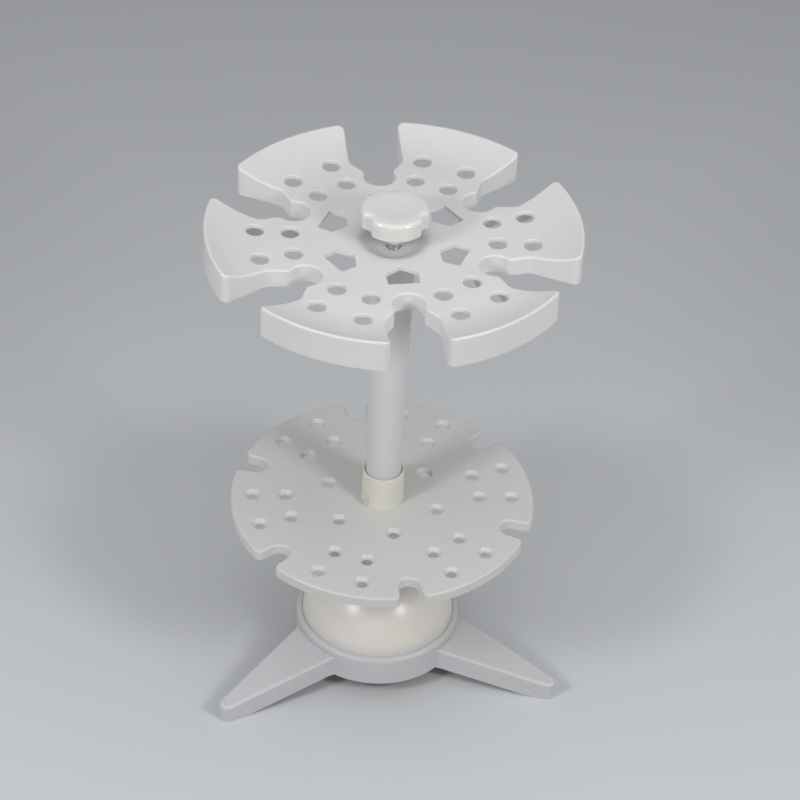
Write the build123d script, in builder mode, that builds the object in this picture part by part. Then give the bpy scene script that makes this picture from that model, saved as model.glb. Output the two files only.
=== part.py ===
from build123d import *
import math
import os

os.makedirs("parts", exist_ok=True)

# Rotating pipette stand. Millimetres, +Z up. The origin is on the floor, under the column's axis.
# Three legs stand at 90, 210 and 330 degrees; the tray's petals point along 0, 60, 120 ...

# ---- Clearances ----
shaft_gap = 0.05        # radial gap of what turns or slides on a shaft
loose_gap = 0.15        # radial gap of a tube standing in a socket
past = 1.0              # how far a cutting or joining shape runs past the face it crosses
standing = (Align.CENTER, Align.CENTER, Align.MIN)

# ---- Base: dome, ring and three legs, one moulding ----
base_wall = 3.0
ring_radius = 54.0
ring_bottom = 12.5      # height of the ring's lower edge above the floor
ring_height = 21.0
lip_round = 2.8
lip_width = 3.6         # from the ring's outside to where the dome starts
lip_depth = 0.5         # how far the dome starts below the lip
lip_slope = 0.4
dome_rise = 44.0
seat_radius = 13.0      # flat on top of the dome
boss_radius = 12.0
boss_height = 16.0      # under the seat, carrying the rod
leg_count = 3
leg_reach = 123.0       # axis to the centre of the rounded toe
toe_radius = 5.4
toe_height = 13.0
toe_flat = 9.0          # level part of the foot behind the toe's centre
leg_root_half = 18.6    # half the leg's width at the ring
leg_root_height = 15.5
leg_round = 2.0
leg_wall = 2.4
dimple_radius = 1.6
dimple_depth = 0.7
dimple_place = 7.0      # height above the floor
dimple_back = 10.0      # behind the toe's centre

# ---- Pivot rod, its fasteners and the sleeve around it ----
rod_radius = 5.0
rod_flange_radius = 8.0
rod_flange_thick = 3.0
rod_top = 204.0
rod_tail = 7.0          # rod below its nut
rod_chamfer = 0.8
groove_depth = 0.9
washer_radius = 10.0
washer_thick = 1.6
rod_nut_flats = 17.0
rod_nut_height = 8.0
sleeve_radius = 12.4
sleeve_wall = 3.4
thrust_thick = 1.5
thrust_radius = 11.5

# ---- Lower disc with its hub and collar ----
disc_top = 130.0
disc_plate = 3.2
disc_radius = 98.5
disc_skirt = 7.0        # full height of the rim
disc_wall = 2.5
disc_round = 1.4
disc_turn = 3.7         # how far the disc is turned from the tray above it, in degrees
notch_half = 6.8
notch_depth = 11.5      # from the rim to the centre of the notch's round end
notch_flare = 1.2       # how much wider each side is at the rim
notch_round = 4.0
tip_hole_radius = 3.45
tip_sink_radius = 5.35
centre_ring = 37.0      # radius of the ring of six holes round the column
hub_drop = 12.0         # the hub below the plate's underside
hub_floor = 5.0
hub_wall = 2.5
collar_wall = 1.95
collar_height = 23.7
collar_recess = 1.2
collar_recess_width = 1.0
collar_foot = 0.5       # how far the bead round the collar's foot stands out
key_width = 2.6
key_height = 7.0
key_proud = 1.6
bush_wall = 2.5
bush_flange_gap = 0.65  # between the bush's flange and the column's bore
bush_flange_thick = 1.5

# ---- Column ----
column_low_radius = 11.4
column_top_radius = 13.5
column_bore = 9.6
guide_height = 10.0
guide_below_rod_top = 9.0
clip_width = 2.6
clip_thick = 1.2
clip_gap = 0.3
clip_mouth = 7.0
plug_height = 18.0
plug_roof = 9.0         # plug above the nut
nut_flats = 13.0
nut_height = 6.5

# ---- Upper tray ----
petals = 6
tray_radius = 115.0
tray_plate_top = 336.1
tray_rise = 9.1         # the rim above the plate
tray_skirt = 20.9       # full height of the rim
tray_plate = 2.6
tray_wall = 2.6
tray_round = 1.2
tray_rise_start = 79.5  # radius where the petals start to curve up
dish_floor_radius = 10.0
dish_radius = 24.0
dish_depth = 6.2
pocket_place = 66.1     # centre of the slot's round end
pocket_radius = 10.0
neck_half = 9.3
neck_place = 72.4
mouth_half = 16.9
mouth_place = 82.2
neck_round = 4.0
mouth_round = 9.0
petal_round = 4.0
seat_hole_radius = 5.75
seat_margin = 14.3      # from the lower disc's rim to the outer ring of holes in both plates
seat_spacing = 21.3     # between the two rings of holes
seat_angle = 10.0       # holes stand this far each side of a petal's middle
seat_round = 0.5
window_apex = 29.5
window_side = 36.0
window_side_half = 10.2
window_end = 46.5
window_end_half = 9.6
window_round = 0.6
socket_wall = 2.4
socket_depth = 10.0

# ---- Knob and its stud, standing partly unscrewed ----
stud_radius = 4.0
stud_length = 51.0
stud_in_knob = 16.0
stud_hole_gap = 0.4
stud_chamfer = 0.8
thread_pitch = 1.25
turns_open = 4          # turns that the knob stands above its clamped place
clamp_gap = 0.05        # left under the knob when it is screwed down
knob_radius = 20.5
knob_rim = 12.0
knob_cone = 11.8        # from the rim's underside to the neck's end
knob_cone_radius = 15.5
knob_neck_radius = 5.4
knob_neck = 2.6
knob_grooves = 3
knob_phase = 87.0       # direction of one groove, in degrees
groove_radius = 5.2
groove_bite = 2.6
groove_lip = 2.4
knob_top_round = 2.4
knob_low_round = 1.2
knob_dish = 0.7         # depth of the hollow in the knob's top
knob_dish_radius = 14.0

# ---- Worked out from the values above ----
tray_rim_top = tray_plate_top + tray_rise
tray_skirt_end = tray_rim_top - tray_skirt
collar_radius = column_low_radius + loose_gap + collar_wall
bush_flange_radius = column_bore - bush_flange_gap
notch_place = disc_radius - notch_depth
seat_rings = (disc_radius - seat_margin - seat_spacing, disc_radius - seat_margin)
ring_top = ring_bottom + ring_height
dome_edge = ring_radius - lip_width
dome_foot = ring_top - lip_depth
dome_ball = (dome_edge**2 + dome_rise**2) / (2 * dome_rise)
dome_centre = dome_foot + dome_rise - dome_ball
seat_level = dome_centre + math.sqrt(dome_ball**2 - seat_radius**2)
boss_bottom = seat_level - boss_height
rod_end = boss_bottom - washer_thick - rod_nut_height - rod_tail
leg_taper = (leg_root_half - toe_radius) / (leg_reach - ring_radius)
disc_underside = disc_top - disc_plate
hub_bottom = disc_underside - hub_drop
hub_radius = collar_radius + hub_wall
sleeve_top = hub_bottom - thrust_thick
socket_floor = hub_bottom + hub_floor
collar_top = disc_top + collar_height
dish_floor = tray_plate_top - dish_depth
column_top = dish_floor - tray_plate
guide_top = rod_top - guide_below_rod_top
clip_bottom = guide_top + clip_gap
plug_bottom = column_top - plug_height
neck_end = dish_floor + turns_open * thread_pitch + clamp_gap
knob_under = neck_end + knob_cone
knob_top = knob_under + knob_rim
knob_dish_ball = (knob_dish_radius**2 + knob_dish**2) / (2 * knob_dish)
slot_angle = 180 / petals


def save(piece, name):
    """Label a finished piece and write it."""
    piece.part.label = name
    export_step(piece.part, f"parts/{name}.step")


def hexagon_radius(flats):
    """Corner radius of a hexagon from its width across flats."""
    return flats / math.sqrt(3)


def outside(radius):
    """A test for shapes whose centre lies further than radius from the axis."""
    return lambda shape: math.hypot(shape.center().X, shape.center().Y) > radius


# ---------------------------------------------------------------- base
def dome_arc(start, end, wall):
    """Arc of the dome's surface between two radii, wall below the outside."""
    def point(radius):
        return (radius, dome_centre + math.sqrt((dome_ball - wall) ** 2 - radius**2))

    ThreePointArc(point(start), point((start + end) / 2), point(end))
    return point(start), point(end)


def leg_plan(inset):
    """Plan of a leg along +X: a long taper that ends in a round toe."""
    lean = math.asin(leg_taper)
    toe = toe_radius - inset
    root = ring_radius - 3 * base_wall
    touch = (leg_reach + toe * math.sin(lean), toe * math.cos(lean))
    root_half = touch[1] + (touch[0] - root) * math.tan(lean)
    Line((root, root_half), touch)
    ThreePointArc(touch, (leg_reach + toe, 0), (touch[0], -touch[1]))
    Polyline((touch[0], -touch[1]), (root, -root_half), (root, root_half))


def leg_side(inset, opening):
    """Side view of a leg, its top lowered by inset and its underside by opening."""
    root = ring_radius - 3 * base_wall
    toe = leg_reach + toe_radius + past
    Polyline(
        (root, ring_bottom - opening),
        (ring_radius, ring_bottom - opening),
        (leg_reach - toe_flat, -opening),
        (toe, -opening),
        (toe, toe_height - inset),
        (leg_reach, toe_height - inset),
        (ring_radius, ring_bottom + leg_root_height - inset),
        (root, ring_bottom + leg_root_height - inset),
        close=True,
    )


with BuildPart() as leg_hollow:
    with BuildSketch(Plane.XY.offset(-leg_wall)):
        with BuildLine():
            leg_plan(leg_wall)
        make_face()
    extrude(amount=ring_top)
    with BuildSketch(Plane.XZ):
        with BuildLine():
            leg_side(leg_wall, leg_wall)
        make_face()
    extrude(amount=2 * leg_root_half, both=True, mode=Mode.INTERSECT)

with BuildPart() as leg:
    with BuildSketch():
        with BuildLine():
            leg_plan(0)
        make_face()
    extrude(amount=ring_top)
    with BuildSketch(Plane.XZ):
        with BuildLine():
            leg_side(0, 0)
        make_face()
    extrude(amount=2 * leg_root_half, both=True, mode=Mode.INTERSECT)
    top_faces = leg.faces().filter_by(lambda f: f.normal_at().Z > math.cos(math.radians(45)))
    top_edges = [e for f in top_faces for e in f.edges() if e.center().X > ring_radius - base_wall]
    fillet([e for e in top_edges if sum(e.is_same(o) for o in top_edges) == 1], leg_round)
    add(leg_hollow.part, mode=Mode.SUBTRACT)
    dimple_along = leg_reach - dimple_back
    dimple_half = toe_radius + dimple_back * leg_taper + dimple_radius - dimple_depth
    with Locations((dimple_along, dimple_half, dimple_place), (dimple_along, -dimple_half, dimple_place)):
        Sphere(dimple_radius, mode=Mode.SUBTRACT)

with BuildPart() as base:
    with PolarLocations(0, leg_count, start_angle=90):
        add(leg.part)
    with BuildSketch(Plane.XZ):
        with BuildLine():
            seat_point, edge_point = dome_arc(seat_radius, dome_edge, 0)
            Polyline(
                edge_point,
                (dome_edge + lip_slope, ring_top),
                (ring_radius, ring_top),
                (ring_radius, ring_bottom),
                (0, ring_bottom),
                (0, seat_point[1]),
                seat_point,
            )
        make_face()
        fillet(vertices().sort_by_distance((ring_radius, ring_top))[0], lip_round)
    revolve(axis=Axis.Z)
    with BuildSketch(Plane.XZ):
        with BuildLine():
            inner_seat, inner_edge = dome_arc(boss_radius, dome_edge - base_wall, base_wall)
            Polyline(
                inner_edge,
                (ring_radius - base_wall, inner_edge[1] - base_wall),
                (ring_radius - base_wall, ring_bottom - past),
                (0, ring_bottom - past),
                (0, boss_bottom),
                (boss_radius, boss_bottom),
                inner_seat,
            )
        make_face()
    revolve(axis=Axis.Z, mode=Mode.SUBTRACT)
    with Locations((0, 0, seat_level)):
        Hole(rod_radius + shaft_gap, depth=boss_height)
save(base, "base")

# ---------------------------------------------------------------- pivot
with BuildPart() as pivot_rod:
    with Locations((0, 0, rod_end)):
        Cylinder(rod_radius, rod_top - rod_end, align=standing)
    chamfer(pivot_rod.edges().filter_by(GeomType.CIRCLE), rod_chamfer)
    with Locations((0, 0, seat_level)):
        Cylinder(rod_flange_radius, rod_flange_thick, align=standing)
    with BuildSketch(Plane.XY.offset(clip_bottom)):
        Circle(rod_radius + past)
        Circle(rod_radius - groove_depth, mode=Mode.SUBTRACT)
    extrude(amount=clip_thick, mode=Mode.SUBTRACT)
save(pivot_rod, "pivot_rod")

with BuildPart() as rod_washer:
    with BuildSketch(Plane.XY.offset(boss_bottom - washer_thick)):
        Circle(washer_radius)
        Circle(rod_radius + shaft_gap, mode=Mode.SUBTRACT)
    extrude(amount=washer_thick)
save(rod_washer, "rod_washer")

with BuildPart() as rod_nut:
    with BuildSketch(Plane.XY.offset(boss_bottom - washer_thick - rod_nut_height)):
        RegularPolygon(hexagon_radius(rod_nut_flats), 6)
        Circle(rod_radius + shaft_gap, mode=Mode.SUBTRACT)
    extrude(amount=rod_nut_height)
save(rod_nut, "rod_nut")

with BuildPart() as sleeve:
    with BuildSketch(Plane.XY.offset(seat_level)):
        Circle(sleeve_radius)
        Circle(sleeve_radius - sleeve_wall, mode=Mode.SUBTRACT)
    extrude(amount=sleeve_top - seat_level)
save(sleeve, "lower_sleeve")

with BuildPart() as thrust_washer:
    with BuildSketch(Plane.XY.offset(sleeve_top)):
        Circle(thrust_radius)
        Circle(rod_radius + shaft_gap, mode=Mode.SUBTRACT)
    extrude(amount=thrust_thick)
save(thrust_washer, "thrust_washer")

with BuildPart() as retaining_clip:
    with BuildSketch(Plane.XY.offset(clip_bottom)):
        Circle(rod_radius - groove_depth + clip_width)
        Circle(rod_radius - groove_depth, mode=Mode.SUBTRACT)
        with Locations((rod_radius, 0)):
            Rectangle(2 * clip_width, clip_mouth, align=(Align.MIN, Align.CENTER), mode=Mode.SUBTRACT)
    extrude(amount=clip_thick)
save(retaining_clip, "retaining_clip")

# ---------------------------------------------------------------- lower disc
with BuildSketch() as notch:
    with BuildLine():
        inner = CenterArc((notch_place, 0), notch_half, 90, 180)
        Polyline(
            inner @ 1,
            (disc_radius + notch_round, -notch_half - notch_flare),
            (disc_radius + notch_round, notch_half + notch_flare),
            inner @ 0,
        )
    make_face()

with BuildSketch() as disc_outline:
    Circle(disc_radius)
    with PolarLocations(0, petals, start_angle=disc_turn + slot_angle):
        add(notch.sketch, mode=Mode.SUBTRACT)
    fillet(disc_outline.vertices().filter_by(outside(disc_radius - 1)), notch_round)

with BuildPart() as lower_disc:
    with BuildSketch(Plane.XY.offset(disc_top - disc_skirt)):
        add(disc_outline.sketch)
    extrude(amount=disc_skirt)
    top_face = lower_disc.faces().sort_by(Axis.Z)[-1]
    fillet(top_face.edges(), disc_round)
    with BuildSketch(Plane.XY.offset(disc_top - disc_skirt)):
        add(disc_outline.sketch)
        offset(amount=-disc_wall, mode=Mode.REPLACE)
    extrude(amount=disc_skirt - disc_plate, mode=Mode.SUBTRACT)
    with Locations((0, 0, hub_bottom)):
        Cylinder(hub_radius, hub_drop + disc_plate, align=standing)
    with PolarLocations(collar_radius, 1, start_angle=disc_turn + 180 + slot_angle):
        with Locations((0, 0, disc_underside)):
            Box(2 * key_proud, key_width, key_height + disc_plate, align=standing)
    with Locations((0, 0, socket_floor)):
        Cylinder(collar_radius + shaft_gap, collar_top, align=standing, mode=Mode.SUBTRACT)
    with Locations((0, 0, socket_floor)):
        Hole(rod_radius + shaft_gap + bush_wall, depth=hub_floor)
    with Locations(Plane.XY.offset(disc_top)):
        for ring in seat_rings:
            for side in (-1, 1):
                with PolarLocations(ring, petals, start_angle=disc_turn + side * seat_angle):
                    CounterSinkHole(tip_hole_radius, tip_sink_radius, disc_skirt, 90)
        with PolarLocations(centre_ring, petals, start_angle=disc_turn + slot_angle):
            CounterSinkHole(tip_hole_radius, tip_sink_radius, disc_skirt, 90)
save(lower_disc, "lower_disc")

with BuildPart() as column_collar:
    with BuildSketch(Plane.XY.offset(socket_floor)):
        Circle(collar_radius)
    extrude(amount=collar_top - socket_floor)
    with BuildSketch(Plane.XY.offset(disc_top)):
        Circle(collar_radius + collar_foot)
        with PolarLocations(collar_radius, 1, start_angle=disc_turn + 180 + slot_angle):
            Rectangle(2 * key_proud, key_width + 2 * shaft_gap, mode=Mode.SUBTRACT)
    extrude(amount=collar_foot)
    with BuildSketch(Plane.XY.offset(socket_floor)):
        Circle(column_low_radius + loose_gap)
    extrude(amount=collar_top - socket_floor, mode=Mode.SUBTRACT)
    with BuildSketch(Plane.XY.offset(collar_top - collar_recess)):
        Circle(column_low_radius + loose_gap + collar_recess_width)
    extrude(amount=collar_recess, mode=Mode.SUBTRACT)
save(column_collar, "column_collar")

with BuildPart() as hub_bush:
    with BuildSketch(Plane.XY.offset(hub_bottom)):
        Circle(rod_radius + shaft_gap + bush_wall)
    extrude(amount=hub_floor)
    with BuildSketch(Plane.XY.offset(socket_floor)):
        Circle(bush_flange_radius)
    extrude(amount=bush_flange_thick)
    with Locations((0, 0, socket_floor + bush_flange_thick)):
        Hole(rod_radius + shaft_gap)
save(hub_bush, "hub_bush")

# ---------------------------------------------------------------- column
with BuildPart() as column:
    with BuildSketch(Plane.XZ):
        with BuildLine():
            Polyline(
                (column_bore, socket_floor),
                (column_low_radius, socket_floor),
                (column_low_radius, collar_top),
                (column_top_radius, column_top - socket_depth),
                (column_top_radius, column_top),
                (column_bore, column_top),
                close=True,
            )
        make_face()
    revolve(axis=Axis.Z)
save(column, "column")

with BuildPart() as column_guide:
    with BuildSketch(Plane.XY.offset(guide_top - guide_height)):
        Circle(column_bore)
        Circle(rod_radius + shaft_gap, mode=Mode.SUBTRACT)
    extrude(amount=guide_height)
save(column_guide, "column_guide")

with BuildPart() as column_plug:
    with BuildSketch(Plane.XY.offset(plug_bottom)):
        Circle(column_bore)
        RegularPolygon(hexagon_radius(nut_flats), 6, mode=Mode.SUBTRACT)
    extrude(amount=plug_height - plug_roof)
    with BuildSketch(Plane.XY.offset(column_top - plug_roof)):
        Circle(column_bore)
        Circle(stud_radius + stud_hole_gap, mode=Mode.SUBTRACT)
    extrude(amount=plug_roof)
save(column_plug, "column_plug")

with BuildPart() as captive_nut:
    with BuildSketch(Plane.XY.offset(column_top - plug_roof - nut_height)):
        RegularPolygon(hexagon_radius(nut_flats), 6)
        Circle(stud_radius + shaft_gap, mode=Mode.SUBTRACT)
    extrude(amount=nut_height)
save(captive_nut, "captive_nut")


# ---------------------------------------------------------------- upper tray
def tray_surface(drop):
    """Section of the tray's top surface from the axis outwards, lowered by drop."""
    floor = dish_floor - drop
    plate = tray_plate_top - drop
    rim = tray_rim_top - drop
    Line((0, floor), (dish_floor_radius, floor))
    bend = (dish_floor_radius + dish_radius) / 2
    middle = (floor + plate) / 2
    lower = TangentArc((dish_floor_radius, floor), (bend, middle), tangent=(1, 0))
    TangentArc(lower @ 1, (dish_radius, plate), tangent=lower % 1)
    Line((dish_radius, plate), (tray_rise_start, plate))
    TangentArc((tray_rise_start, plate), (tray_radius, rim), tangent=(1, 0))
    return rim


with BuildPart() as air_above:
    with BuildSketch(Plane.XZ):
        with BuildLine():
            rim_level = tray_surface(0)
            far = tray_radius + past
            high = rim_level + past
            Polyline((tray_radius, rim_level), (far, rim_level), (far, high), (0, high), (0, dish_floor))
        make_face()
    revolve(axis=Axis.Z)

with BuildPart() as under_surface:
    with BuildSketch(Plane.XZ):
        with BuildLine():
            rim_level = tray_surface(tray_plate)
            Polyline((tray_radius, rim_level), (tray_radius, tray_skirt_end), (0, tray_skirt_end))
            Line((0, tray_skirt_end), (0, dish_floor - tray_plate))
        make_face()
    revolve(axis=Axis.Z)

with BuildSketch() as slot:
    far = tray_radius + petal_round
    with BuildLine():
        FilletPolyline(
            (pocket_place, -neck_half),
            (neck_place, -neck_half),
            (mouth_place, -mouth_half),
            (far, -mouth_half),
            (far, mouth_half),
            (mouth_place, mouth_half),
            (neck_place, neck_half),
            (pocket_place, neck_half),
            radius=(neck_round, mouth_round, 0, 0, mouth_round, neck_round),
        )
        Line((pocket_place, neck_half), (pocket_place, -neck_half))
    make_face()
    with Locations((pocket_place, 0)):
        Circle(pocket_radius)

with BuildSketch() as tray_outline:
    Circle(tray_radius)
    with PolarLocations(0, petals, start_angle=slot_angle):
        add(slot.sketch, mode=Mode.SUBTRACT)
    fillet(tray_outline.vertices().filter_by(outside(tray_radius - 1)), petal_round)

with BuildSketch() as window:
    with BuildLine():
        Polyline(
            (window_apex, 0),
            (window_side, window_side_half),
            (window_end, window_end_half),
            (window_end, -window_end_half),
            (window_side, -window_side_half),
            close=True,
        )
    make_face()
    fillet(window.vertices(), window_round)

with BuildPart() as tray_hollow:
    with BuildSketch(Plane.XY.offset(tray_skirt_end)):
        add(tray_outline.sketch)
        offset(amount=-tray_wall, mode=Mode.REPLACE)
    extrude(amount=tray_rim_top - tray_skirt_end)
    add(under_surface.part, mode=Mode.INTERSECT)

with BuildPart() as upper_tray:
    with BuildSketch(Plane.XY.offset(tray_skirt_end)):
        add(tray_outline.sketch)
    extrude(amount=tray_rim_top - tray_skirt_end)
    add(air_above.part, mode=Mode.SUBTRACT)
    outline = tray_outline.face().outer_wire()
    rim_edges = [
        edge
        for edge in upper_tray.edges().filter_by(lambda e: e.center().Z > tray_plate_top - shaft_gap)
        if outline.distance_to(Vector((edge @ 0.5).X, (edge @ 0.5).Y, 0)) < shaft_gap
    ]
    fillet(rim_edges, tray_round)
    add(tray_hollow.part, mode=Mode.SUBTRACT)
    with BuildSketch(Plane.XY.offset(column_top - socket_depth)):
        Circle(column_top_radius + loose_gap + socket_wall)
        Circle(column_top_radius + loose_gap, mode=Mode.SUBTRACT)
    extrude(amount=socket_depth + tray_plate / 2)
    with BuildSketch(Plane.XY.offset(tray_skirt_end)):
        with PolarLocations(0, petals, start_angle=slot_angle):
            add(window.sketch)
    extrude(amount=tray_rim_top, mode=Mode.SUBTRACT)
    with Locations(Plane.XY.offset(tray_rim_top)):
        for ring in seat_rings:
            for side in (-1, 1):
                with PolarLocations(ring, petals, start_angle=side * seat_angle):
                    Hole(seat_hole_radius, depth=tray_rim_top - tray_skirt_end)
        Hole(stud_radius + stud_hole_gap)
    round_walls = upper_tray.faces().filter_by(GeomType.CYLINDER)
    seat_walls = round_walls.filter_by(lambda f: abs(f.radius - seat_hole_radius) < shaft_gap)
    fillet([wall.edges().sort_by(Axis.Z)[-1] for wall in seat_walls], seat_round)
save(upper_tray, "upper_tray")

# ---------------------------------------------------------------- knob
with BuildPart() as knob_stud:
    with Locations((0, 0, neck_end + stud_in_knob - stud_length)):
        Cylinder(stud_radius, stud_length, align=standing)
    chamfer(knob_stud.edges().sort_by(Axis.Z)[0], stud_chamfer)
save(knob_stud, "knob_stud")

with BuildPart() as star_knob:
    with BuildSketch(Plane.XY.offset(knob_under)):
        Circle(knob_radius)
        with PolarLocations(knob_radius + groove_radius - groove_bite, knob_grooves, start_angle=knob_phase):
            Circle(groove_radius, mode=Mode.SUBTRACT)
        fillet(vertices(), groove_lip)
    extrude(amount=knob_rim)
    fillet(star_knob.faces().sort_by(Axis.Z)[-1].edges(), knob_top_round)
    fillet(star_knob.faces().sort_by(Axis.Z)[0].edges(), knob_low_round)
    with BuildSketch(Plane.XZ):
        with BuildLine():
            Polyline(
                (0, neck_end),
                (knob_neck_radius, neck_end),
                (knob_neck_radius, neck_end + knob_neck),
                (knob_cone_radius, knob_under + past),
                (0, knob_under + past),
                close=True,
            )
        make_face()
    revolve(axis=Axis.Z)
    with Locations((0, 0, knob_top - knob_dish + knob_dish_ball)):
        Sphere(knob_dish_ball, mode=Mode.SUBTRACT)
    with Locations((0, 0, neck_end)):
        Cylinder(stud_radius + shaft_gap, stud_in_knob + stud_hole_gap, align=standing, mode=Mode.SUBTRACT)
save(star_knob, "star_knob")
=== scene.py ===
"""A rotating pipette stand: finishes, the threaded stud, floor, light and camera."""

import math

import bmesh
import bpy
from mathutils import Matrix, Vector


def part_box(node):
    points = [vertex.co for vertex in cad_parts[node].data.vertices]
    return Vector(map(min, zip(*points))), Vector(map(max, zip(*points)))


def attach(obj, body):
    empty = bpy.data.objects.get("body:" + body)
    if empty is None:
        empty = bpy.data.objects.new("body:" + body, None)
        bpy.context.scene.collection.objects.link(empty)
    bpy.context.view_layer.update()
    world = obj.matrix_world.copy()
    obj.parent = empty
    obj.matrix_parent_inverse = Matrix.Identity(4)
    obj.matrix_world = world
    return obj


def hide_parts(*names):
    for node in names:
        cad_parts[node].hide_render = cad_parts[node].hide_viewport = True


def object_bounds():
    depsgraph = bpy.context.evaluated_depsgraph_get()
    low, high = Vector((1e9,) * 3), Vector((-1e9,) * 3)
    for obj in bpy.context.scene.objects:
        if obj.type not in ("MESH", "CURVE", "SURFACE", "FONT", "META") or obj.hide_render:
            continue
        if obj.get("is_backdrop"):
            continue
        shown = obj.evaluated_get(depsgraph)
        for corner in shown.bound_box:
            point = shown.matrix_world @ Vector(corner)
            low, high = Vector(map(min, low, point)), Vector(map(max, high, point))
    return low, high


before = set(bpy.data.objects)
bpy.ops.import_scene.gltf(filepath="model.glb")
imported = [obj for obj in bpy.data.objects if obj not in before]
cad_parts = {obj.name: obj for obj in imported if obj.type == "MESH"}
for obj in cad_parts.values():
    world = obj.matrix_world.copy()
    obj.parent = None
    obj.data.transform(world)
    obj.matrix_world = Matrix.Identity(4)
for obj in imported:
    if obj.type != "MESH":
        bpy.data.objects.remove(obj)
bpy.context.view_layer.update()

MM = 0.001

# ---- Stud: a standard 8 mm metric thread ----
THREAD_PITCH = 1.25 * MM
THREAD_DEPTH = 0.65 * MM
THREAD_CREST = 0.16 * MM      # width of the flat on top of the thread
STEPS_PER_TURN = 40
WELD_REACH = THREAD_CREST / 20    # points nearer than this become one
CUT_REACH = 0.0001 * MM           # how near the end planes counts as on them

# ---- Camera ----
VIEW_AZIMUTH = math.radians(9.549)
VIEW_ELEVATION = math.radians(38.921)
VIEW_ROLL = math.radians(2.787)
VIEW_DISTANCE = 1.7953
AIM_SIDE = 0.008427           # how far right of the axis the camera aims
AIM_HEIGHT = 0.210544
SENSOR_WIDTH = 36.0
FOCAL_LENGTH = 127.84

# ---- Light: a soft box on each side in front and a weak, broad one overhead ----
LAMP_DISTANCE = 1.1
LAMPS = {
    "left_soft_box": {"toward": (-0.84, -0.55, 0.68), "size": (0.24, 0.24), "power": 4.0},
    "right_soft_box": {"toward": (0.61, -0.79, 0.68), "size": (0.24, 0.24), "power": 4.0},
    "top_light": {"toward": (0.05, -0.15, 0.98), "size": (0.9, 0.9), "power": 3.4},
}
LAMP_COLOUR = (1.0, 1.0, 1.0)
SKY_COLOUR = (0.96, 0.975, 1.0)
SKY_STRENGTH = 0.30
FLOOR_HALF_WIDTH = 6.0
FLOOR_COLOUR = (0.64, 0.655, 0.67)


# ---------------------------------------------------------------- node helpers
def new_material(name):
    """An empty node material with its shader and output joined."""
    material = bpy.data.materials.new(name)
    material.use_nodes = True
    tree = material.node_tree
    tree.nodes.clear()
    output = tree.nodes.new("ShaderNodeOutputMaterial")
    shader = tree.nodes.new("ShaderNodeBsdfPrincipled")
    tree.links.new(shader.outputs["BSDF"], output.inputs["Surface"])
    return material, tree, shader


def object_coordinates(tree, stretch=(1, 1, 1)):
    """Object coordinates, scaled per axis so that a pattern can run along one of them."""
    place = tree.nodes.new("ShaderNodeTexCoord")
    mapping = tree.nodes.new("ShaderNodeMapping")
    mapping.inputs["Scale"].default_value = stretch
    tree.links.new(place.outputs["Object"], mapping.inputs["Vector"])
    return mapping.outputs["Vector"]


def noise(tree, where, scale, detail=2.0, roughness=0.5):
    """A grey noise pattern; scale is in features per metre."""
    texture = tree.nodes.new("ShaderNodeTexNoise")
    texture.inputs["Scale"].default_value = scale
    texture.inputs["Detail"].default_value = detail
    texture.inputs["Roughness"].default_value = roughness
    tree.links.new(where, texture.inputs["Vector"])
    return texture.outputs["Fac"]


def remap(tree, value, low, high, start=0.0, end=1.0):
    """value, moved from the span low..high to start..end and held inside it."""
    node = tree.nodes.new("ShaderNodeMapRange")
    node.inputs["From Min"].default_value = low
    node.inputs["From Max"].default_value = high
    node.inputs["To Min"].default_value = start
    node.inputs["To Max"].default_value = end
    tree.links.new(value, node.inputs["Value"])
    return node.outputs["Result"]


def blend_colours(tree, share, first, second):
    """first where share is 0, second where it is 1; each is a colour or a socket."""
    mix = tree.nodes.new("ShaderNodeMix")
    mix.data_type = "RGBA"
    tree.links.new(share, mix.inputs["Factor"])
    for socket, colour in ((mix.inputs["A"], first), (mix.inputs["B"], second)):
        if isinstance(colour, tuple):
            socket.default_value = (*colour, 1.0)
        else:
            tree.links.new(colour, socket)
    return mix.outputs["Result"]


def sum_of(tree, first, second, share=1.0):
    """first + second x share."""
    node = tree.nodes.new("ShaderNodeMath")
    node.operation = "MULTIPLY_ADD"
    tree.links.new(second, node.inputs[0])
    node.inputs[1].default_value = share
    tree.links.new(first, node.inputs[2])
    return node.outputs["Value"]


def bump(tree, shader, height, distance, strength=1.0):
    """A height pattern on the shader's normal; distance is the height of 1 in metres."""
    node = tree.nodes.new("ShaderNodeBump")
    node.inputs["Strength"].default_value = strength
    node.inputs["Distance"].default_value = distance
    tree.links.new(height, node.inputs["Height"])
    tree.links.new(node.outputs["Normal"], shader.inputs["Normal"])


# ---------------------------------------------------------------- finishes
# Pattern scales are in features per metre; a span is the part of a pattern that carries a change.
TONE_SPAN = (0.35, 0.65)
GLOSS_SPAN = (0.3, 0.7)

DRIFT_SCALE = 14              # slow drift in tone
GLOSS_PATCH_SCALE = 55        # patches of more and less gloss
WAVE_SCALE = 45               # slow waviness of a moulded face
WAVE_SHARE = 6.0              # how much higher the waves are than the grain
GRAIN_SCALE = 2600            # satin grain
GRAIN_HEIGHT = 0.00002
PLASTIC_IOR = 1.49
PLASTIC_DEPTH = 6 * MM        # how deep light enters the plastic
PLASTIC_WEIGHT = 0.22
WARMING = (1.0, 0.72, 0.42)   # how far red, green and blue travel inside it

DOME_ROUGHNESS = 0.27
RING_ROUGHNESS = 0.38
DOME_GRAIN_HEIGHT = 0.000015
POLISH_AND_PAINTED_GLOW_FADE = (48.5 * MM, 51.5 * MM)    # from the axis: the dome's polish and painted warm glow fade into the ring's satin

TUBE_DRIFT_SCALE = 16
TUBE_LINE_SCALE = 900
TUBE_LINE_STRETCH = (1, 1, 0.02)        # long along the tube
TUBE_LINE_HEIGHT = 0.00002
TUBE_ROUGHNESS = (0.32, 0.42)

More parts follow.
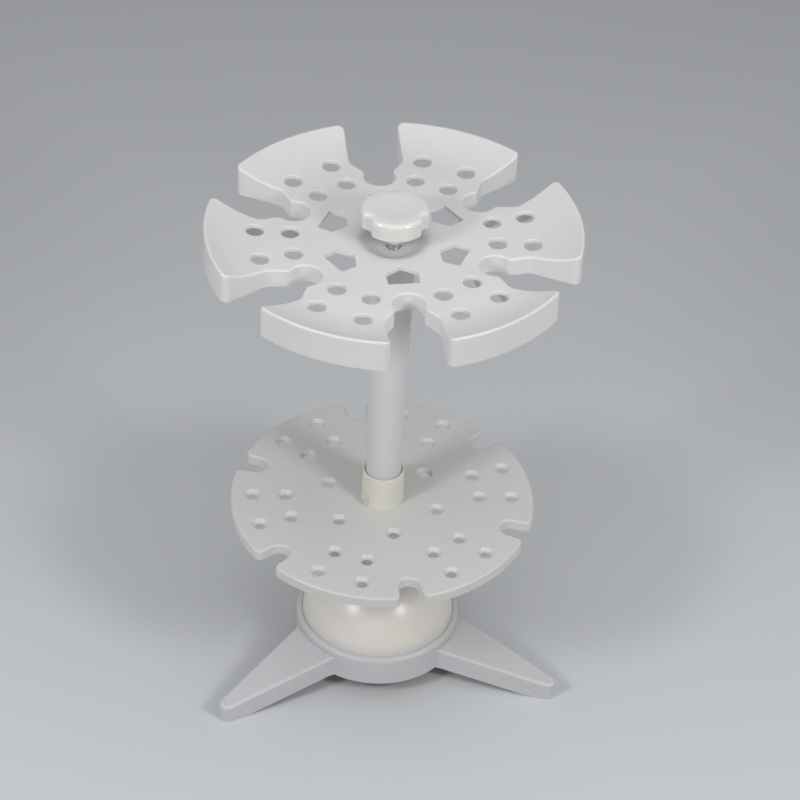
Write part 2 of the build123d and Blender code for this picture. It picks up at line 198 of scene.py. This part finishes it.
KNOB_DEPTH = 10 * MM
KNOB_WEIGHT = 0.55
KNOB_CLOUD_SCALE = 90
KNOB_GLOSS_SCALE = 300
KNOB_WAVE_SCALE = 120
KNOB_WAVE_HEIGHT = 0.00003
KNOB_ROUGHNESS = (0.07, 0.11)

METAL_CLOUD_SCALE = 260
TOOL_MARK_SCALE = 1500
TOOL_MARK_HEIGHT = 0.00001
LATHE_STRETCH = (1, 1, 8)     # tool marks close together along the rod

FLOOR_DRIFT_SCALE = 3
FLOOR_SHADE = 0.985           # the darker patches against the lighter
FLOOR_ROUGHNESS = 0.6

IVORY_LIGHT = (0.705, 0.704, 0.700)
IVORY_DEEP = (0.680, 0.677, 0.666)
DISC_LIGHT = (0.650, 0.650, 0.645)
DISC_DEEP = (0.625, 0.624, 0.613)
BASE_LIGHT = (0.620, 0.622, 0.638)
BASE_DEEP = (0.600, 0.600, 0.610)
# Painted light: the dome's colour is lighter and warmer than the ring's, standing for warm bounce
# light and the disc's reflection.
DOME_PAINTED_GLOW_LIGHT = (0.800, 0.760, 0.705)
DOME_PAINTED_GLOW_DEEP = (0.770, 0.725, 0.660)
# The collar's cream is lighter and warmer than the tube's, and is partly painted warm bounce light
# from under the tray.
COLLAR_PAINTED_GLOW_LIGHT = (0.82, 0.79, 0.70)
COLLAR_PAINTED_GLOW_DEEP = (0.79, 0.755, 0.66)
KNOB_LIGHT = (0.72, 0.72, 0.71)
KNOB_DEEP = (0.69, 0.69, 0.68)
ACETAL_LIGHT = (0.80, 0.80, 0.77)
ACETAL_DEEP = (0.78, 0.78, 0.75)


def translucent_plastic(shader, weight=PLASTIC_WEIGHT, depth=PLASTIC_DEPTH):
    """A plastic that light enters, depth metres in, and leaves warmer."""
    shader.inputs["IOR"].default_value = PLASTIC_IOR
    shader.inputs["Subsurface Weight"].default_value = weight
    shader.inputs["Subsurface Radius"].default_value = WARMING
    shader.inputs["Subsurface Scale"].default_value = depth


def satin_grain(tree, shader, where, height):
    """Fine grain on slow waves, as a satin mould leaves them."""
    fine = noise(tree, where, GRAIN_SCALE, detail=1)
    slow = noise(tree, where, WAVE_SCALE, detail=1)
    bump(tree, shader, sum_of(tree, fine, slow, WAVE_SHARE), height)


def satin_ivory(name, light=IVORY_LIGHT, deep=IVORY_DEEP, roughness=0.40):
    """Injection-moulded ivory with a fine satin grain and slow drift in tone."""
    material, tree, shader = new_material(name)
    where = object_coordinates(tree)
    drift = remap(tree, noise(tree, where, DRIFT_SCALE, detail=3), *TONE_SPAN)
    tree.links.new(blend_colours(tree, drift, light, deep), shader.inputs["Base Color"])
    patches = noise(tree, where, GLOSS_PATCH_SCALE, detail=4)
    patches = remap(tree, patches, *GLOSS_SPAN, roughness - 0.04, roughness + 0.05)
    tree.links.new(patches, shader.inputs["Roughness"])
    satin_grain(tree, shader, where, GRAIN_HEIGHT)
    translucent_plastic(shader)
    return material


def dome_and_legs():
    """The base: polished over the dome, in a lighter, warmer colour that paints the bounce light
    under the disc; satin on the ring and legs.
    """
    material, tree, shader = new_material("base_ivory")
    where = object_coordinates(tree)
    flat = tree.nodes.new("ShaderNodeVectorMath")
    flat.operation = "MULTIPLY"
    flat.inputs[1].default_value = (1, 1, 0)
    tree.links.new(where, flat.inputs[0])
    reach = tree.nodes.new("ShaderNodeVectorMath")
    reach.operation = "LENGTH"
    tree.links.new(flat.outputs["Vector"], reach.inputs[0])
    on_legs = remap(tree, reach.outputs["Value"], *POLISH_AND_PAINTED_GLOW_FADE)
    drift = remap(tree, noise(tree, where, DRIFT_SCALE, detail=3), *TONE_SPAN)
    # Painted warm bounce light over the dome, not the plastic's own colour.
    painted_glow = blend_colours(tree, drift, DOME_PAINTED_GLOW_LIGHT, DOME_PAINTED_GLOW_DEEP)
    satin = blend_colours(tree, drift, BASE_LIGHT, BASE_DEEP)
    tree.links.new(blend_colours(tree, on_legs, painted_glow, satin), shader.inputs["Base Color"])
    roughness = remap(tree, on_legs, 0, 1, DOME_ROUGHNESS, RING_ROUGHNESS)
    tree.links.new(roughness, shader.inputs["Roughness"])
    satin_grain(tree, shader, where, DOME_GRAIN_HEIGHT)
    translucent_plastic(shader)
    return material


def drawn_tube(name):
    """Extruded tube: the same ivory with faint lines along its length."""
    material, tree, shader = new_material(name)
    where = object_coordinates(tree)
    along = object_coordinates(tree, TUBE_LINE_STRETCH)
    drift = remap(tree, noise(tree, where, TUBE_DRIFT_SCALE, detail=3), *TONE_SPAN)
    tree.links.new(blend_colours(tree, drift, IVORY_LIGHT, IVORY_DEEP), shader.inputs["Base Color"])
    lines = noise(tree, along, TUBE_LINE_SCALE, detail=2)
    tree.links.new(remap(tree, lines, *GLOSS_SPAN, *TUBE_ROUGHNESS), shader.inputs["Roughness"])
    bump(tree, shader, lines, TUBE_LINE_HEIGHT)
    translucent_plastic(shader)
    return material


def knob_white():
    """Glossy translucent white."""
    material, tree, shader = new_material("knob_white")
    where = object_coordinates(tree)
    cloud = remap(tree, noise(tree, where, KNOB_CLOUD_SCALE, detail=3), *GLOSS_SPAN)
    tree.links.new(blend_colours(tree, cloud, KNOB_LIGHT, KNOB_DEEP), shader.inputs["Base Color"])
    patches = noise(tree, where, KNOB_GLOSS_SCALE, detail=2)
    tree.links.new(remap(tree, patches, *GLOSS_SPAN, *KNOB_ROUGHNESS), shader.inputs["Roughness"])
    bump(tree, shader, noise(tree, where, KNOB_WAVE_SCALE, detail=1), KNOB_WAVE_HEIGHT)
    translucent_plastic(shader, KNOB_WEIGHT, KNOB_DEPTH)
    return material


def metal(name, colour, tint, roughness, mark_stretch=(1, 1, 1)):
    """Plated or ground metal with fine tool marks."""
    material, tree, shader = new_material(name)
    where = object_coordinates(tree, mark_stretch)
    cloud = remap(tree, noise(tree, where, METAL_CLOUD_SCALE, detail=4), *TONE_SPAN)
    tree.links.new(blend_colours(tree, cloud, colour, tint), shader.inputs["Base Color"])
    marks = noise(tree, where, TOOL_MARK_SCALE, detail=3)
    worn = remap(tree, marks, *GLOSS_SPAN, roughness - 0.06, roughness + 0.08)
    tree.links.new(worn, shader.inputs["Roughness"])
    bump(tree, shader, marks, TOOL_MARK_HEIGHT)
    shader.inputs["Metallic"].default_value = 1.0
    return material


def floor_finish():
    """Pale grey sheet with a very faint drift in tone."""
    material, tree, shader = new_material("pale_floor")
    where = object_coordinates(tree)
    drift = remap(tree, noise(tree, where, FLOOR_DRIFT_SCALE, detail=2), *GLOSS_SPAN)
    darker = tuple(channel * FLOOR_SHADE for channel in FLOOR_COLOUR)
    tree.links.new(blend_colours(tree, drift, FLOOR_COLOUR, darker), shader.inputs["Base Color"])
    shader.inputs["Roughness"].default_value = FLOOR_ROUGHNESS
    return material


def give(material, *names):
    """The same finish for several CAD nodes."""
    for name in names:
        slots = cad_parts[name].data.materials
        slots.clear()
        slots.append(material)


# ---------------------------------------------------------------- threaded stud
def threaded_stud():
    """The knob's stud with its real thread: one groove's section, spun up the whole length."""
    low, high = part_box("knob_stud")
    outer = high.x
    root = outer - THREAD_DEPTH
    centre = Vector(((low.x + high.x) / 2, (low.y + high.y) / 2, 0))
    crest = THREAD_CREST / 2
    section = [
        (outer, -THREAD_PITCH / 2),
        (outer, -THREAD_PITCH / 2 + crest),
        (root, -crest),
        (root, crest),
        (outer, THREAD_PITCH / 2 - crest),
        (outer, THREAD_PITCH / 2),
    ]
    turns = math.ceil((high.z - low.z) / THREAD_PITCH) + 2
    start = low.z - THREAD_PITCH
    form = bmesh.new()
    points = [form.verts.new((centre.x + r, centre.y, start + z)) for r, z in section]
    profile = [form.edges.new(pair) for pair in zip(points, points[1:])]
    bmesh.ops.spin(
        form,
        geom=points + profile,
        axis=(0, 0, 1),
        cent=centre,
        dvec=(0, 0, THREAD_PITCH / STEPS_PER_TURN),
        angle=turns * 2 * math.pi,
        steps=turns * STEPS_PER_TURN,
        use_duplicate=False,
    )
    bmesh.ops.remove_doubles(form, verts=form.verts, dist=WELD_REACH)
    for level, outward in ((low.z, -1), (high.z, 1)):
        cut = bmesh.ops.bisect_plane(
            form,
            geom=form.verts[:] + form.edges[:] + form.faces[:],
            dist=CUT_REACH,
            plane_co=(0, 0, level),
            plane_no=(0, 0, outward),
            clear_outer=True,
        )
        rim = [piece for piece in cut["geom_cut"] if isinstance(piece, bmesh.types.BMEdge)]
        bmesh.ops.edgeloop_fill(form, edges=rim)
    bmesh.ops.recalc_face_normals(form, faces=form.faces)
    return make_piece("threaded_stud", form, ZINC, "knob", "zinc_steel", "knob_stud", smooth_below=35)


def make_piece(name, form, material, body, slot, *stands_for, smooth_below):
    """A finished bmesh as an object that rides on a body.

    Edges sharper than smooth_below, in degrees, stay crisp.
    """
    mesh = bpy.data.meshes.new(name)
    form.to_mesh(mesh)
    form.free()
    mesh.materials.append(material)
    mesh.shade_smooth()
    mesh.set_sharp_from_angle(angle=math.radians(smooth_below))
    piece = bpy.data.objects.new(name, mesh)
    bpy.context.scene.collection.objects.link(piece)
    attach(piece, body)
    if stands_for:
        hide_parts(*stands_for)
    return piece


# ---------------------------------------------------------------- stage
def make_floor():
    form = bmesh.new()
    bmesh.ops.create_grid(form, x_segments=1, y_segments=1, size=FLOOR_HALF_WIDTH)
    mesh = bpy.data.meshes.new("floor")
    form.to_mesh(mesh)
    form.free()
    mesh.materials.append(floor_finish())
    floor = bpy.data.objects.new("floor", mesh)
    bpy.context.scene.collection.objects.link(floor)
    floor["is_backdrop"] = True


def make_lamps():
    low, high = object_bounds()
    middle = (Vector(low) + Vector(high)) / 2
    for name, lamp in LAMPS.items():
        data = bpy.data.lights.new(name, "AREA")
        data.shape = "RECTANGLE"
        data.size, data.size_y = lamp["size"]
        data.energy = lamp["power"]
        data.color = LAMP_COLOUR
        toward = Vector(lamp["toward"]).normalized()
        light = bpy.data.objects.new(name, data)
        light.location = middle + toward * LAMP_DISTANCE
        light.rotation_euler = toward.to_track_quat("Z", "Y").to_euler()
        bpy.context.scene.collection.objects.link(light)


def make_sky():
    world = bpy.data.worlds.new("studio")
    world.use_nodes = True
    background = world.node_tree.nodes["Background"]
    background.inputs["Color"].default_value = (*SKY_COLOUR, 1.0)
    background.inputs["Strength"].default_value = SKY_STRENGTH
    bpy.context.scene.world = world


def make_camera():
    """Camera in front of the stand, looking down at it, its picture turned by a small roll."""
    forward = Vector((math.sin(VIEW_AZIMUTH), math.cos(VIEW_AZIMUTH), 0))
    right = Vector((math.cos(VIEW_AZIMUTH), -math.sin(VIEW_AZIMUTH), 0))
    upright = Vector((0, 0, 1))
    back = -forward * math.cos(VIEW_ELEVATION) + upright * math.sin(VIEW_ELEVATION)
    up = forward * math.sin(VIEW_ELEVATION) + upright * math.cos(VIEW_ELEVATION)
    across = right * math.cos(VIEW_ROLL) + up * math.sin(VIEW_ROLL)
    above = up * math.cos(VIEW_ROLL) - right * math.sin(VIEW_ROLL)
    aim = right * AIM_SIDE + upright * AIM_HEIGHT
    data = bpy.data.cameras.new("camera")
    data.sensor_width = SENSOR_WIDTH
    data.lens = FOCAL_LENGTH
    data.clip_end = 50
    camera = bpy.data.objects.new("camera", data)
    turn = Matrix((across, above, back)).transposed().to_4x4()
    camera.matrix_world = Matrix.Translation(aim + back * VIEW_DISTANCE) @ turn
    bpy.context.scene.collection.objects.link(camera)
    bpy.context.scene.camera = camera


# ---------------------------------------------------------------- the stand
ZINC = metal("zinc_plate", (0.74, 0.75, 0.77), (0.66, 0.68, 0.72), 0.24)
GROUND_STEEL = metal("ground_steel", (0.62, 0.62, 0.63), (0.55, 0.55, 0.56), 0.30, LATHE_STRETCH)
SPRING_STEEL = metal("spring_steel", (0.20, 0.20, 0.21), (0.14, 0.14, 0.15), 0.35)

give(dome_and_legs(), "base")
give(satin_ivory("tray_ivory"), "upper_tray")
give(satin_ivory("disc_ivory", DISC_LIGHT, DISC_DEEP, 0.42), "lower_disc")
give(drawn_tube("tube_ivory"), "column", "lower_sleeve", "column_plug")
# The collar's lighter, warmer cream is partly painted bounce light.
give(satin_ivory("collar_cream_painted_glow", COLLAR_PAINTED_GLOW_LIGHT, COLLAR_PAINTED_GLOW_DEEP, 0.34), "column_collar")
give(knob_white(), "star_knob")
give(
    satin_ivory("acetal", ACETAL_LIGHT, ACETAL_DEEP, 0.45),
    "hub_bush", "column_guide", "thrust_washer",
)
give(ZINC, "rod_washer", "rod_nut", "captive_nut")
give(GROUND_STEEL, "pivot_rod")
give(SPRING_STEEL, "retaining_clip")
threaded_stud()

make_floor()
make_lamps()
make_sky()
make_camera()
bpy.context.scene.view_settings.view_transform = "Standard"
